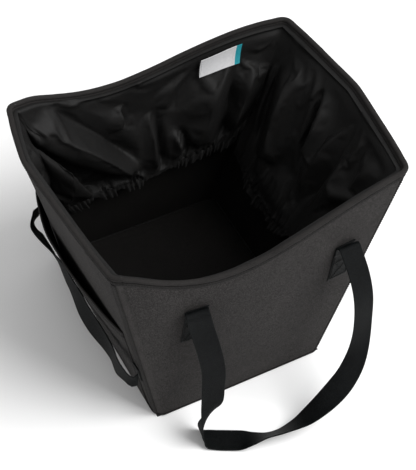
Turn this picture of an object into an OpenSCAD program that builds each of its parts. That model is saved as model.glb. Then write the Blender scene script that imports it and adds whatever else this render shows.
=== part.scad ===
// Soft, stiffened basket bag with an open top, two carrying handles, a gathered
// inner collar and one outside pocket.
// +X runs along the long side, +Y towards the back, +Z up.
// The origin is on the floor, under the middle of the base.

/* [Basket] */
// Length of the mouth along the long side
rim_l = 400; // [340:5:460]
// Width of the mouth along the short side
rim_w = 294; // [250:2:340]
// Length of the base along the long side
base_l = 248; // [220:2:300]
// Width of the base along the short side
base_w = 298; // [250:2:340]
// Height of the corners of the mouth above the floor
height = 334; // [310:2:380]
// Radius of the upright corners
corner_r = 13; // [8:1:20]
// How far the long edges of the mouth sag
rim_sag = 43; // [0:1:45]
// How far the long edges of the mouth bow outwards
rim_bow = 18; // [0:1:22]
// How far the creased short sides bulge outwards at the mouth
side_bulge = 17; // [0:1:20]

/* [Cloth and boards] */
// Thickness of the outer cloth
cloth_t = 1.0; // [0.8:0.1:1.4]
// Thickness of the stiffening boards in the walls
board_t = 2.0; // [1:0.1:3]
// Thickness of the cloth that faces the inside of the walls
facing_t = 0.8; // [0.6:0.1:1.2]
// Thickness of the board in the base
base_board_t = 3.0; // [2:0.5:5]
// Width of the tape that binds the rim
binding_w = 13; // [11:0.5:16]
// Height of the gathered hem of the inner collar above the floor
collar_hem_z = 132; // [110:2:170]
// How far the gathered hem of the collar is drawn in from the wall
collar_draw = 20; // [14:1:26]

/* [Webbing] */
// Width of the webbing
web_w = 30; // [25:1:34]
// Thickness of the webbing
web_t = 1.8; // [1.4:0.1:2.4]
// Height of the fold where a handle leaves its sewn end
fold_z = 240; // [236:1:244]
// Length of the sewn end of a handle
end_len = 68; // [50:1:74]

/* [Side pocket] */
// Height of the mouth of the side pocket at its ends
pocket_top = 186; // [170:2:200]
// How far the mouth of the side pocket gapes
pocket_gape = 12; // [8:1:16]

/* [Hidden] */
gap = 0.25;             // clear space between two layers
m_arc = 3;              // steps in half of an upright corner
n_side = 14;            // steps along one straight side
crease = [0, 7, 0, 4];  // step at which each short side is creased
rows = [0, 0.3, 0.6, 0.8, 1];

// depths of the layers of a wall, measured inwards from its outer surface
board_d = cloth_t + gap;
facing_d = board_d + board_t + gap;
wall_d = facing_d + facing_t;
collar_d = wall_d + 1.4;

// walls stop this far below the rim, inside the binding tape
wall_top = 9.5;

// ---------------------------------------------------------------- wall shape
// half length and half width of the basket at the height fraction h
function half_l(h) = (base_l + (rim_l - base_l) * h) / 2;
function half_w(h) = (base_w + (rim_w - base_w) * h) / 2;
// u runs along a long edge, from 0 at its left corner to 1 at its right corner
function sag(u) = rim_sag * pow(sin(180 * pow(u, 0.7)), 2);
function bow(u) = rim_bow * pow(abs(sin(180 * pow(u, 0.7))), 0.8);
// s runs along a short side, from -1 to 1, and the side bulges to its crease at c
function bulge(s, c) =
    side_bulge * pow(max(0, s > c ? (1 - s) / (1 - c) : (1 + s) / (1 + c)), 0.8);

// One point of the wall. side is 0 front, 1 right, 2 back, 3 left; e is the
// step along the side, from 0 to 2 * m_arc + n_side, corner to corner; h is the
// height fraction; d is the depth inwards from the outer surface; dz is added to
// the height, along the wall.
steps = 2 * m_arc + n_side;
function is_long(side) = side % 2 == 0;
function side_half(side, h) = is_long(side) ? half_l(h) : half_w(h);
function side_out(side, h) = is_long(side) ? half_w(h) : half_l(h);
function phi(e) =
    e < m_arc ? -45 * (m_arc - e) / m_arc :
    e > m_arc + n_side ? 45 * (e - m_arc - n_side) / m_arc : 0;
function straight(e) = min(1, max(0, (e - m_arc) / n_side)) * 2 - 1;
// radius of the corner at the depth d
function turn_r(d) = max(corner_r - d, 2);
function local_e(side, e, h, d) =
    straight(e) * (side_half(side, h) - d - turn_r(d)) + turn_r(d) * sin(phi(e));
function local_o(side, e, h, d) =
    side_out(side, h) - d - turn_r(d) + turn_r(d) * cos(phi(e));
function turned(side, e, o) =
    side == 0 ? [e, -o] : side == 1 ? [o, e] : side == 2 ? [-e, o] : [-o, -e];
function across(side, e) = (1 + (side == 2 ? -1 : 1) * straight(e)) / 2;
function swell(side, e) =
    is_long(side) ? bow(across(side, e)) : bulge(straight(e), 2 * crease[side] / n_side - 1);
function rise(side, e) = height - (is_long(side) ? sag(across(side, e)) : 0);
function wall_point(side, e, h, d, dz = 0) =
    let (k = h + dz / rise(side, e),
         q = turned(side, local_e(side, e, k, d), local_o(side, e, k, d) + k * swell(side, e)))
    [q[0], q[1], k * rise(side, e)];

// The height fraction at which a wall reaches the height z
function frac(z) = z / height;
// The step along a side that lies at the distance c from its middle
function step_at(side, c, h) =
    m_arc + n_side * (c / (side_half(side, h) - corner_r) + 1) / 2;

// -------------------------------------------------------------- sheet solids
// A sheet between two grids of points, each a list of rows of n points
module sheet_solid(outer, inner) {
    rn = len(outer);
    n = len(outer[0]);
    pts = [for (r = outer) each r, for (r = inner) each r];
    b = rn * n;
    faces = [
        for (j = [0:rn - 2]) for (i = [0:n - 2])
            let (p = j * n + i) each [
                [p, p + n, p + n + 1], [p, p + n + 1, p + 1],
                [b + p, b + p + n + 1, b + p + n], [b + p, b + p + 1, b + p + n + 1]],
        for (i = [0:n - 2]) let (t = (rn - 1) * n + i) each [
            [i, i + 1, b + i + 1], [i, b + i + 1, b + i],
            [t + 1, t, b + t], [t + 1, b + t, b + t + 1]],
        for (j = [0:rn - 2]) let (l = j * n, r = j * n + n - 1) each [
            [l + n, l, b + l], [l + n, b + l, b + l + n],
            [r, r + n, b + r + n], [r, b + r + n, b + r]]];
    polyhedron(pts, faces, convexity = 10);
}

// A band of a wall: steps e0 to e1, height fractions hs, depths d0 (outer) to d1
module wall_band(side, e0, e1, hs, d0, d1, n = 0, dz = 0) {
    m = n > 0 ? n : round(e1 - e0);
    es = [for (i = [0:m]) e0 + (e1 - e0) * i / m];
    sheet_solid(
        [for (h = hs) [for (e = es) wall_point(side, e, h, d0, h == hs[len(hs) - 1] ? dz : 0)]],
        [for (h = hs) [for (e = es) wall_point(side, e, h, d1, h == hs[len(hs) - 1] ? dz : 0)]]);
}

// A closed ring that follows the wall. section is a list of corners, each a
// height fraction, a depth and a lift, in order up the outside and down the inside.
module wall_ring(section) {
    loop = [for (side = [0:3]) for (e = [0:steps - 1]) [side, e]];
    n = len(section);
    k = len(loop);
    pts = [for (l = loop) for (s = section) wall_point(l[0], l[1], s[0], s[1], s[2])];
    faces = [for (i = [0:k - 1]) for (j = [0:n - 1])
        let (a = i * n, b = ((i + 1) % k) * n, j1 = (j + 1) % n) each [
            [a + j, a + j1, b + j1], [a + j, b + j1, b + j]]];
    polyhedron(pts, faces, convexity = 10);
}
// A square-cornered ring at the height fraction h, d0 to d1 deep, z0 to z1 from it
function box_section(h, d0, d1, z0, z1) =
    [[h, d0, z0], [h, d0, z1], [h, d1, z1], [h, d1, z0]];

// A flat plate inside the walls, between two heights
module base_plate(d, z0, z1) {
    l = half_l(frac(z0)) - d;
    w = half_w(frac(z0)) - d;
    r = corner_r - d;
    translate([0, 0, z0])
        linear_extrude(z1 - z0)
            union() {
                square([2 * (l - r), 2 * w], center = true);
                square([2 * l, 2 * (w - r)], center = true);
                for (x = [-1, 1], y = [-1, 1])
                    translate([x * (l - r), y * (w - r)])
                        circle(r = r, $fn = 24);
            }
}

// ------------------------------------------------------------------- webbing
// Smooth curve through the points, with n steps between two points
function spline(p0, p1, p2, p3, t) =
    0.5 * (2 * p1 + (p2 - p0) * t + (2 * p0 - 5 * p1 + 4 * p2 - p3) * t * t
        + (3 * p1 - p0 - 3 * p2 + p3) * t * t * t);
function smooth(p, n) =
    let (c = len(p) - 1)
    [for (i = [0:c - 1]) for (k = [0:n - 1])
        spline(i == 0 ? 2 * p[0] - p[1] : p[i - 1], p[i], p[i + 1],
            i == c - 1 ? 2 * p[c] - p[c - 1] : p[i + 2], k / n),
     p[c]];
function unit(v) = v / norm(v);

// A strap along route: each row is a point and the direction of its width
module strap(route, width, thick, n = 2) {
    c = smooth([for (r = route) [r[0], r[1], r[2]]], n);
    g = smooth([for (r = route) [r[3], r[4], r[5]]], n);
    last = len(c) - 1;
    pts = [for (i = [0:last])
        let (t = unit(c[min(i + 1, last)] - c[max(i - 1, 0)]),
             w = unit(g[i] - (g[i] * t) * t) * width / 2,
             u = unit(cross(t, w)) * thick / 2)
        each [c[i] + w + u, c[i] - w + u, c[i] - w - u, c[i] + w - u]];
    faces = [
        [3, 2, 1, 0],
        for (i = [0:last - 1]) for (j = [0:3])
            let (a = 4 * i, b = a + 4, k = (j + 1) % 4) each [
                [a + j, a + k, b + k], [a + j, b + k, b + j]],
        [for (j = [0:3]) 4 * last + j]];
    polyhedron(pts, faces, convexity = 10);
}

// The front handle hangs from its two folds and its middle lies on the floor.
// Each row is a point of its middle line and the direction of its width.
fold_left_y = -166.4;
fold_right_y = -159;
handle_route = [
    [-99, fold_left_y, fold_z, 1, 0, 0],
    [-98.5, fold_left_y - 2.5, fold_z - 1, 1, 0, 0],
    [-97, fold_left_y - 7, fold_z - 8, 1, -0.1, 0],
    [-94, -178.5, 222, 1, -0.2, 0],
    [-86, -190, 182, 1, -0.3, 0],
    [-80, -197, 143, 1, -0.3, 0],
    [-79, -200, 105, 1, -0.2, 0],
    [-79, -202, 80, 1, -0.1, 0],
    [-83, -203, 58, 0.9, 0.4, 0],
    [-87, -202, 36, 0.6, 0.8, 0],
    [-88, -201, 15, 0.2, 1, 0],
    [-84, -205, 5, 0.1, 1, 0],
    [-74, -211, 2.5, 0.1, 1, 0],
    [-59, -219, 2.5, 0.1, 1, 0],
    [-44, -227, 4, 0.1, 1, -0.1],
    [-30, -234, 8, 0.2, 0.9, -0.5],
    [-14, -240, 13, 0.3, 0.6, -0.7],
    [4, -245, 18, 0.3, 0.6, -0.7],
    [25, -247, 24, 0.2, 0.8, -0.6],
    [43, -247, 32, 0, 1, -0.4],
    [64, -245, 44, -0.3, 1, -0.2],
    [83, -242, 58, -0.6, 1, 0],
    [98, -238, 73, -0.8, 0.6, 0.1],
    [110, -232, 90, -1, 0.4, 0],
    [118, -225, 114, -1, 0.1, 0],
    [122, -217, 146, -1, -0.1, 0],
    [122, -207, 187, -1, -0.1, 0],
    [121, -191, 216, -1, -0.1, 0],
    [119, fold_right_y - 7, fold_z - 7, -1, 0, 0],
    [118.5, fold_right_y - 2.5, fold_z - 1, -1, 0, 0],
    [118, fold_right_y, fold_z, -1, 0, 0]];
end_left_x = -92;   // middle of the left sewn end, along X
end_right_x = 119;  // middle of the right sewn end, along X

// The side strap stands off the left side between its two corner seams
strap_route = [
    [-153.5, -142, 101, -0.25, 0.2, 1],
    [-163, -141, 103, -0.15, 0.2, 1],
    [-173, -120, 112, 0, 0, 1],
    [-175, -80, 121, 0, 0, 1],
    [-175, -30, 123, 0, 0, 1],
    [-174, 30, 122, 0, 0, 1],
    [-174, 75, 124, 0, 0, 1],
    [-175, 108, 127, 0, 0, 1],
    [-172, 128, 126, 0, 0, 1],
    [-157.5, 142, 120, -0.25, -0.2, 1]];

// ------------------------------------------------------------------- modules
// Outer cloth of one side
module outer_cloth(side) {
    color("#33302f") wall_band(side, 0, steps, rows, 0, cloth_t, dz = -wall_top);
}
// Cloth on the inside of one side
module inner_cloth(side) {
    color("#1b1918") wall_band(side, 0, steps, board_rows, facing_d, wall_d, dz = -wall_top);
}
// Stiffening board inside one side, from step e0 to step e1
module wall_board(side, e0, e1) {
    color("#4a4a48") wall_band(side, e0, e1, board_rows, board_d, board_d + board_t,
        dz = -wall_top);
}
board_rows = [for (h = rows) max(h, frac(cloth_t + gap))];
crease_step = 0.2;      // half the width of the gap between two boards at a crease

module front_panel() outer_cloth(0);
module right_panel() outer_cloth(1);
module back_panel() outer_cloth(2);
module left_panel() outer_cloth(3);

module front_board() wall_board(0, m_arc, m_arc + n_side);
module back_board() wall_board(2, m_arc, m_arc + n_side);
module right_board_front() wall_board(1, m_arc, m_arc + crease[1] - crease_step);
module right_board_back() wall_board(1, m_arc + crease[1] + crease_step, m_arc + n_side);
module left_board_back() wall_board(3, m_arc, m_arc + crease[3] - crease_step);
module left_board_front() wall_board(3, m_arc + crease[3] + crease_step, m_arc + n_side);

module front_facing() inner_cloth(0);
module right_facing() inner_cloth(1);
module back_facing() inner_cloth(2);
module left_facing() inner_cloth(3);

// Outer cloth, board and inner cloth of the base
module base_panel() color("#33302f") base_plate(cloth_t + gap, 0, cloth_t);
module base_board() color("#3c3b39")
    base_plate(wall_d + gap, cloth_t + gap, cloth_t + gap + base_board_t);
module base_facing() color("#1b1918")
    base_plate(wall_d + 3 * gap, cloth_t + base_board_t + 2 * gap,
        cloth_t + base_board_t + facing_t + 2 * gap);
// Piping in the seam between the walls and the base
module base_seam() color("#2b2928")
    wall_ring(box_section(frac(3), -gap - 1.4, -gap, -1.5, 1.5));

// Bound seam on one upright corner
module corner_seam(side) color("#2b2928")
    wall_band(side, steps - 2, steps, [frac(5.5), 0.3, 0.6, 0.8, 0.95], -gap - 1, -gap);
module seam_front_right() corner_seam(0);
module seam_back_right() corner_seam(1);
module seam_back_left() corner_seam(2);
module seam_front_left() corner_seam(3);

// Flat spring strip that holds the rim in shape
module rim_frame() color("#5c5c5e")
    wall_ring(box_section(1, board_d + 0.4, board_d + 1.9, -8.5, -1.5));
// Folded tape around the rim
module rim_binding() color("#2a2827") {
    out = -gap - 1;
    in = wall_d + gap + 0.8;
    wall_ring([[1, -gap, -binding_w], [1, out, -binding_w], [1, out, -1], [1, 0.5, 0],
        [1, wall_d - 0.3, 0], [1, in, -1], [1, in, -binding_w],
        [1, wall_d + gap, -binding_w], [1, wall_d + gap, -1.1], [1, -gap, -1.1]]);
}

// Thin collar that hangs inside the rim; its hem is drawn in by an elastic
collar_rows = [frac(collar_hem_z), 0.55, 0.75, 0.9, 1];
function collar_depth(j) = collar_d + collar_draw * pow(1 - j / 4, 1.5);
function collar_corner(j, skin) =
    [collar_rows[j], collar_depth(j) + skin, j == 4 ? -2 : 0];
module collar() color("#222222")
    wall_ring([for (j = [0:4]) collar_corner(j, 0), for (j = [4:-1:0]) collar_corner(j, 0.8)]);
module collar_elastic() color("#101010")
    wall_ring(box_section(collar_rows[0], collar_depth(0) - 1, collar_depth(0) + 2.5,
        -4.2, -0.4));

// Blank woven label and its end tab, on the inside of the back rim
label_mid = step_at(2, -104, 1);
label_rows = [0.865, 0.9, 0.93, 0.958];
function collar_at(h) = lookup(h, [for (j = [0:4]) [collar_rows[j], collar_depth(j)]]);
module label_band(e0, e1) {
    es = [for (i = [0:4]) e0 + (e1 - e0) * i / 4];
    sheet_solid(
        [for (h = label_rows) [for (e = es) wall_point(2, e, h, collar_at(h) + 1.5)]],
        [for (h = label_rows) [for (e = es) wall_point(2, e, h, collar_at(h) + 2.2)]]);
}
module label() color("#e8e8ea") label_band(label_mid - 0.8, label_mid + 1.1);
module label_tab() color("#2f8f98") label_band(label_mid - 1.08, label_mid - 0.83);

module front_handle() color("#262a2a") strap(handle_route, web_w, web_t);
module back_handle() mirror([0, 1, 0]) front_handle();
// Sewn end of a handle, flat on a long wall, with its middle at x
function end_row(side, x, z, d) =
    let (h = z / (height - sag(0.5 + x / rim_l)), c = side == 0 ? x : -x)
    [for (k = [-0.5, 0, 0.5]) wall_point(side, step_at(side, c + k * web_w, h), h, d)];
module sewn_end(side, x) color("#262a2a") {
    zs = [fold_z - end_len, fold_z - end_len / 2, fold_z - 1];
    sheet_solid([for (z = zs) end_row(side, x, z, -gap - web_t)],
        [for (z = zs) end_row(side, x, z, -gap)]);
}
module front_end_left() sewn_end(0, end_left_x);
module front_end_right() sewn_end(0, end_right_x);
// the back handle mirrors the front one
module back_end_left() sewn_end(2, end_left_x);
module back_end_right() sewn_end(2, end_right_x);

// Outside pocket on the left side: a sheet that stands off the wall at its mouth
pocket_e0 = m_arc + 0.6;
pocket_e1 = m_arc + n_side - 0.6;
pocket_steps = 12;
pocket_rows = [0, 0.2, 0.45, 0.7, 0.88, 1];
function pocket_stand(i, v) =
    pocket_gape * pow(sin(180 * i / pocket_steps), 0.8) * pow(v, 1.2);
function pocket_point(i, v, skin) =
    wall_point(3, pocket_e0 + (pocket_e1 - pocket_e0) * i / pocket_steps,
        frac(6 + (pocket_top - 6) * v), -gap - pocket_stand(i, v) - skin);
module side_pocket() color("#33302f")
    sheet_solid(
        [for (v = pocket_rows) [for (i = [0:pocket_steps]) pocket_point(i, v, cloth_t)]],
        [for (v = pocket_rows) [for (i = [0:pocket_steps]) pocket_point(i, v, 0)]]);
// Tape that binds the mouth of the pocket
module pocket_binding() color("#2a2827")
    sheet_solid(
        [for (v = [0.945, 1]) [for (i = [0:pocket_steps])
            pocket_point(i, v, cloth_t + gap + 0.8)]],
        [for (v = [0.945, 1]) [for (i = [0:pocket_steps])
            pocket_point(i, v, cloth_t + gap)]]);

module side_strap() color("#262a2a") strap(strap_route, web_w, web_t);
// Sewn ends of the side strap, at the front and back corner seams
module strap_end(e0, e1, z) color("#262a2a")
    wall_band(3, e0, e1, [frac(z - web_w / 2), frac(z + web_w / 2)],
        -gap - web_t, -gap, n = 2);
module side_strap_end_front() strap_end(m_arc + n_side - 0.5, m_arc + n_side + 0.3, 101);
module side_strap_end_back() strap_end(m_arc - 0.3, m_arc + 0.5, 120);

front_panel();
right_panel();
back_panel();
left_panel();
front_board();
back_board();
right_board_front();
right_board_back();
left_board_front();
left_board_back();
front_facing();
right_facing();
back_facing();
left_facing();
base_panel();
base_board();
base_facing();
base_seam();
seam_front_left();
seam_front_right();
seam_back_left();
seam_back_right();
rim_frame();
rim_binding();
collar();
collar_elastic();
label();
label_tab();
front_handle();
front_end_left();
front_end_right();
back_handle();
back_end_left();
back_end_right();
side_pocket();
pocket_binding();
side_strap();
side_strap_end_front();
side_strap_end_back();
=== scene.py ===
"""Soft carrier basket, standing open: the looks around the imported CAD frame.

Metres, with +X along the long side, +Y towards the back and +Z up.
"""
import math

import bmesh
import bpy
import numpy as np
from mathutils import Matrix, Vector
from mathutils.bvhtree import BVHTree


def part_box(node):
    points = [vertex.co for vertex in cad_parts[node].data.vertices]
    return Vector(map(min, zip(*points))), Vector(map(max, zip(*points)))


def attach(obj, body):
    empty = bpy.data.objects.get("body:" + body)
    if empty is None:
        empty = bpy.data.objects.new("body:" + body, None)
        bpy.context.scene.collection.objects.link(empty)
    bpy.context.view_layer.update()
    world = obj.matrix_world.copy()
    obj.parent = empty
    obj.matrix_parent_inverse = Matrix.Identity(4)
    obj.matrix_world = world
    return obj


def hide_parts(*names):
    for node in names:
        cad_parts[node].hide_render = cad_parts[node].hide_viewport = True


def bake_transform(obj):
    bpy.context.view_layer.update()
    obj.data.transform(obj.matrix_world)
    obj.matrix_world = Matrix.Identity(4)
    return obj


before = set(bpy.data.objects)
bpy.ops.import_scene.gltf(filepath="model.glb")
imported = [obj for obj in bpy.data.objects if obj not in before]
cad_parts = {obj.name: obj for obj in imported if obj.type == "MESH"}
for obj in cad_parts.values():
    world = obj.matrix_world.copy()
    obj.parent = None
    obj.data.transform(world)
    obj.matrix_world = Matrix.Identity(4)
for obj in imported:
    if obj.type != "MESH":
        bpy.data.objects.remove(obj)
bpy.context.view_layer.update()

SHELL = "shell"
scene = bpy.context.scene
scene.view_settings.view_transform = "Standard"


# ---- camera
def make_camera(azimuth=-33.8, elevation=50.6, roll=7.0, distance=1.8464, aim_height=0.1672, lens=109.5):
    """The photograph's camera, fitted to the corners of the basket."""
    a, e, r = (math.radians(v) for v in (azimuth, elevation, roll))
    back = Vector((math.sin(a) * math.cos(e), -math.cos(a) * math.cos(e), math.sin(e)))
    right = Vector((0, 0, 1)).cross(back).normalized()
    up = back.cross(right)
    x_axis = right * math.cos(r) + up * math.sin(r)
    y_axis = up * math.cos(r) - right * math.sin(r)
    data = bpy.data.cameras.new("camera")
    data.lens, data.sensor_width = lens, 36
    data.shift_x, data.shift_y = 0.0247, -0.0223
    data.clip_start, data.clip_end = 0.05, 50
    cam = bpy.data.objects.new("camera", data)
    scene.collection.objects.link(cam)
    m = Matrix((x_axis, y_axis, back)).transposed().to_4x4()
    m.translation = Vector((0, 0, aim_height)) + back * distance
    cam.matrix_world = m
    scene.camera = cam


make_camera()

# ---- the basket's wall shape, as in the CAD source
H = 0.334                    # height of the corners of the mouth
BASE_L, FLARE_L = 0.124, 0.076     # half the length of the base, and how much more the mouth has
BASE_W, FLARE_W = 0.149, -0.002    # the same across
RIM_DIP = 0.043              # how far the long rims dip between their corners
LONG_BOW, SHORT_BULGE = 0.018, 0.017     # how far the long and the short rims stand out between corners
CORNER = 0.013               # radius of the upright corners
ARC, SIDE = 3, 14            # steps in half a corner, and along a straight side
STEPS = 2 * ARC + SIDE       # steps to a side
ROUND = 4 * STEPS            # steps all round the basket, counted from the front left corner
CREASE = (0, 7, 0, 4)        # the step at which each short side is creased
FACING_D, WALL_D = 0.0035, 0.0043
COLLAR_D = WALL_D + 0.0014   # the inner cloth lies from FACING_D to WALL_D, and the collar starts here


def half_l(h):
    return BASE_L + FLARE_L * h


def half_w(h):
    return BASE_W + FLARE_W * h


def wall_tables():
    """The steps along a side, and each side's dip, bow and bulge at them."""
    steps = np.arange(STEPS + 1.0)
    s = np.clip((steps - ARC) / SIDE, 0, 1) * 2 - 1
    dips, bows, bulges = [], [], []
    for side in range(4):
        # the dip lies nearer the left end of both long sides, as in the photograph
        u = (1 + (-s if side == 2 else s)) / 2
        wave = np.sin(np.pi * u**0.7)
        c = 2 * CREASE[side] / SIDE - 1
        tent = np.where(s > c, (1 - s) / (1 - c), (1 + s) / max(1 + c, 1e-6))
        dips.append(RIM_DIP * wave**2)
        bows.append(LONG_BOW * np.abs(wave) ** 0.8)
        bulges.append(SHORT_BULGE * np.clip(tent, 0, 1) ** 0.8)
    return steps, dips, bows, bulges


TABLE_STEPS, DIPS, BOWS, BULGES = wall_tables()


def softened(table, e, reach=0.42):
    """The table's value at step e, with its corners rounded over about reach steps."""
    return sum(np.interp(e + k * reach / 3, TABLE_STEPS, table) for k in range(-3, 4)) / 7


def wall(side, e, h, d=0.0, dz=0.0):
    """Points of one side: step e along it, height fraction h, depth d inwards, dz added up the wall."""
    e, h, d, dz = (np.array(v, float) for v in np.broadcast_arrays(e, h, d, dz))
    long = side % 2 == 0
    s = np.clip((e - ARC) / SIDE, 0, 1) * 2 - 1
    past = np.where(e > ARC + SIDE, 45 * (e - ARC - SIDE) / ARC, 0)
    phi = np.radians(np.where(e < ARC, -45 * (ARC - e) / ARC, past))
    rise = H - (softened(DIPS[side], e) if long else 0)
    k = h + dz / rise
    turn = np.maximum(CORNER - d, 0.002)
    along = (half_l(k) if long else half_w(k)) - d - turn
    out = (half_w(k) if long else half_l(k)) - d - turn
    swell = softened(BOWS[side] if long else BULGES[side], e)
    a = s * along + turn * np.sin(phi)
    o = out + turn * np.cos(phi) + k * swell
    x, y = ((a, -o), (o, a), (-a, o), (-o, -a))[side]
    return np.stack([x, y, k * rise], -1)


def ring(k, h, d=0.0, dz=0.0):
    """Points all round the basket, at step k."""
    k, h, d, dz = (np.array(v, float) for v in np.broadcast_arrays(k, h, d, dz))
    k = np.mod(k, ROUND)
    side = np.minimum((k // STEPS).astype(int), 3)
    out = np.zeros(k.shape + (3,))
    for i in range(4):
        m = side == i
        if m.any():
            out[m] = wall(i, k[m] - STEPS * i, h[m], d[m], dz[m])
    return out


def side_steps(per_straight=98, per_arc=9):
    """Steps along one side, finer round the corners."""
    return np.concatenate([np.linspace(0, ARC, per_arc)[:-1],
                           np.linspace(ARC, ARC + SIDE, per_straight)[:-1],
                           np.linspace(ARC + SIDE, STEPS, per_arc)])


def ring_steps(per_straight=98, per_arc=9):
    return np.concatenate([side_steps(per_straight, per_arc)[:-1] + STEPS * i for i in range(4)])


def waves(seed, pts, scale, count=18):
    """Smooth, repeatable unevenness of about one unit at the points, with bumps of about that scale."""
    rng = np.random.RandomState(seed)
    pts = np.asarray(pts, float)
    total = np.zeros(pts.shape[:-1])
    for _ in range(count):
        v = rng.normal(size=pts.shape[-1])
        v *= rng.uniform(0.6, 1.5) / np.linalg.norm(v) / scale * np.pi
        total += np.cos(pts @ v + rng.uniform(0, 2 * np.pi))
    return total / math.sqrt(count / 2)


def smoothstep(a, b, x):
    t = np.clip((x - a) / (b - a), 0, 1)
    return t * t * (3 - 2 * t)


# ---- meshes
def make_mesh(name, verts, faces, uv_of_loops=None, sharp=35, wear=None):
    me = bpy.data.meshes.new(name)
    points = [tuple(v) for v in np.asarray(verts, float)]
    me.from_pydata(points, [], [tuple(int(i) for i in f) for f in faces])
    if uv_of_loops is not None:
        layer = me.uv_layers.new(name="weave")
        layer.data.foreach_set("uv", np.asarray(uv_of_loops, np.float32).ravel())
    if wear is not None:
        layer = me.attributes.new("wear", "FLOAT", "POINT")
        layer.data.foreach_set("value", np.asarray(wear, np.float32).ravel())
    me.validate()
    me.shade_smooth()
    me.set_sharp_from_angle(angle=math.radians(sharp))
    obj = bpy.data.objects.new(name, me)
    scene.collection.objects.link(obj)
    return obj


def grid(name, P, uv, close_u=False, close_v=False, caps=False, flip=False, sharp=35, wear=None):
    """A mesh from rows and columns of points. uv has one more row or column where the grid is closed.
    caps closes both ends of a grid whose rows go round a flat section."""
    P = np.asarray(P, float)
    rows, cols = P.shape[:2]
    nr, nc = rows if close_v else rows - 1, cols if close_u else cols - 1
    r, c = (a.ravel() for a in np.meshgrid(np.arange(nr), np.arange(nc), indexing="ij"))
    corners = [(r, c), (r, c + 1), (r + 1, c + 1), (r + 1, c)]
    if flip:
        corners.reverse()
    faces = np.stack([(i % rows) * cols + j % cols for i, j in corners], 1)
    loops = np.stack([uv[i, j] for i, j in corners], 1).reshape(-1, 2)
    faces = [tuple(f) for f in faces]
    if caps:
        half = rows // 2
        extra = []
        for col, turn in ((0, False), (cols - 1, True)):
            for i in range(half - 1):
                q = [row * cols + col for row in (i, i + 1, rows - 2 - i, rows - 1 - i)]
                if turn != flip:
                    q.reverse()
                faces.append(tuple(q))
                extra += [uv[x // cols, col] for x in q]
        loops = np.concatenate([loops, np.array(extra)])
    return make_mesh(name, P.reshape(-1, 3), faces, loops, sharp, wear)


def lengths(P, axis):
    """Running length along one axis of a grid of points, as cloth coordinates."""
    step = np.linalg.norm(np.diff(P, axis=axis), axis=-1)
    zero = np.zeros_like(np.take(P[..., 0], [0], axis=axis))
    return np.concatenate([zero, np.cumsum(step, axis=axis)], axis=axis)


def cloth_uv(P, close_u=False, close_v=False):
    """Cloth coordinates in metres for a grid: along its rows and up its columns."""
    if close_u:
        P = np.concatenate([P, P[:, :1]], 1)
    if close_v:
        P = np.concatenate([P, P[:1]], 0)
    u = lengths(P, 1)
    u = u - u.mean(axis=1, keepdims=True)
    u = np.broadcast_to(u[len(u) // 2], u.shape)
    v = lengths(P, 0)
    v = np.broadcast_to(v.mean(axis=1, keepdims=True), v.shape)
    return np.stack([u, v], -1)


def unit(v):
    v = np.asarray(v, float)
    return v / np.maximum(np.linalg.norm(v, axis=-1, keepdims=True), 1e-12)


def thin_sheet(name, out, back, edge=None, **options):
    """A closed thin sheet between two grids of points; edge is how worn its outer face is."""
    half = cloth_uv(out)
    uv = np.concatenate([half, half[::-1], half[:1]])
    wear = None if edge is None else np.concatenate([edge, 0 * edge])
    return grid(name, np.concatenate([out, back[::-1]]), uv, close_v=True, caps=True, wear=wear, **options)


def tube(name, P, **options):
    """A closed ring round the basket, from lines of points round its section."""
    return grid(name, P, cloth_uv(P, True, True), close_u=True, close_v=True, **options)


def catmull_rom(a, b, c, d, t):
    """The smooth curve from b to c, with a before them and d after them."""
    return 0.5 * (2 * b + (c - a) * t + (2 * a - 5 * b + 4 * c - d) * t**2 + (3 * b - a - 3 * c + d) * t**3)


def smooth_path(rows, n):
    """A smooth curve through the rows, n steps between two of them."""
    p = np.asarray(rows, float)
    p = np.vstack([2 * p[0] - p[1], p, 2 * p[-1] - p[-2]])
    t = np.arange(n)[:, None] / n
    parts = [catmull_rom(*p[i - 1:i + 3], t) for i in range(1, len(p) - 2)]
    return np.vstack(parts + [p[-2][None]])


def even(points, step, *others):
    """The path again with points an even step apart, and the other arrays at the same places."""
    points = np.asarray(points, float)
    at = np.concatenate([[0], np.cumsum(np.linalg.norm(np.diff(points, axis=0), axis=1))])
    n = max(int(round(at[-1] / step)), 2)
    new = np.linspace(0, at[-1], n + 1)
    out = [np.stack([np.interp(new, at, a[:, i]) for i in range(a.shape[1])], 1)
           for a in (points, *[np.asarray(o, float) for o in others])]
    return out if others else out[0]


def stitches(name, rows, slot, mat="thread", length=0.0026, pitch=0.0038, radius=0.00032):
    """Short threads along rows of points; each row is (points, outward normals)."""
    verts, faces = [], []
    # along the thread, its thickness, and its height above the cloth
    prof = [(-0.5, 0.45, -0.9), (-0.32, 1.0, 0.35), (0.32, 1.0, 0.35), (0.5, 0.45, -0.9)]
    for pts, nor in rows:
        p, n = even(pts, pitch, nor)
        mid, n = (p[1:] + p[:-1]) / 2, unit((n[1:] + n[:-1]) / 2)
        t = unit(p[1:] - p[:-1])
        n = unit(n - t * (n * t).sum(1, keepdims=True))
        b = np.cross(t, n)
        for m, tt, nn, bb in zip(mid, t, n, b):
            base = len(verts)
            for along, fat, lift in prof:
                centre = m + tt * along * length + nn * lift * radius
                for j in range(6):
                    a = j * math.pi / 3
                    verts.append(centre + (nn * math.cos(a) + bb * math.sin(a)) * radius * fat)
            for r in range(base, base + 18, 6):
                for j in range(6):
                    k = (j + 1) % 6
                    faces.append((r + j, r + k, r + 6 + k, r + 6 + j))
            faces.append(tuple(base + j for j in range(5, -1, -1)))
            faces.append(tuple(base + 18 + j for j in range(6)))
    obj = make_mesh(name, verts, faces, sharp=80)
    return dress(obj, mat, SHELL, slot)


MATS = {}


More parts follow.
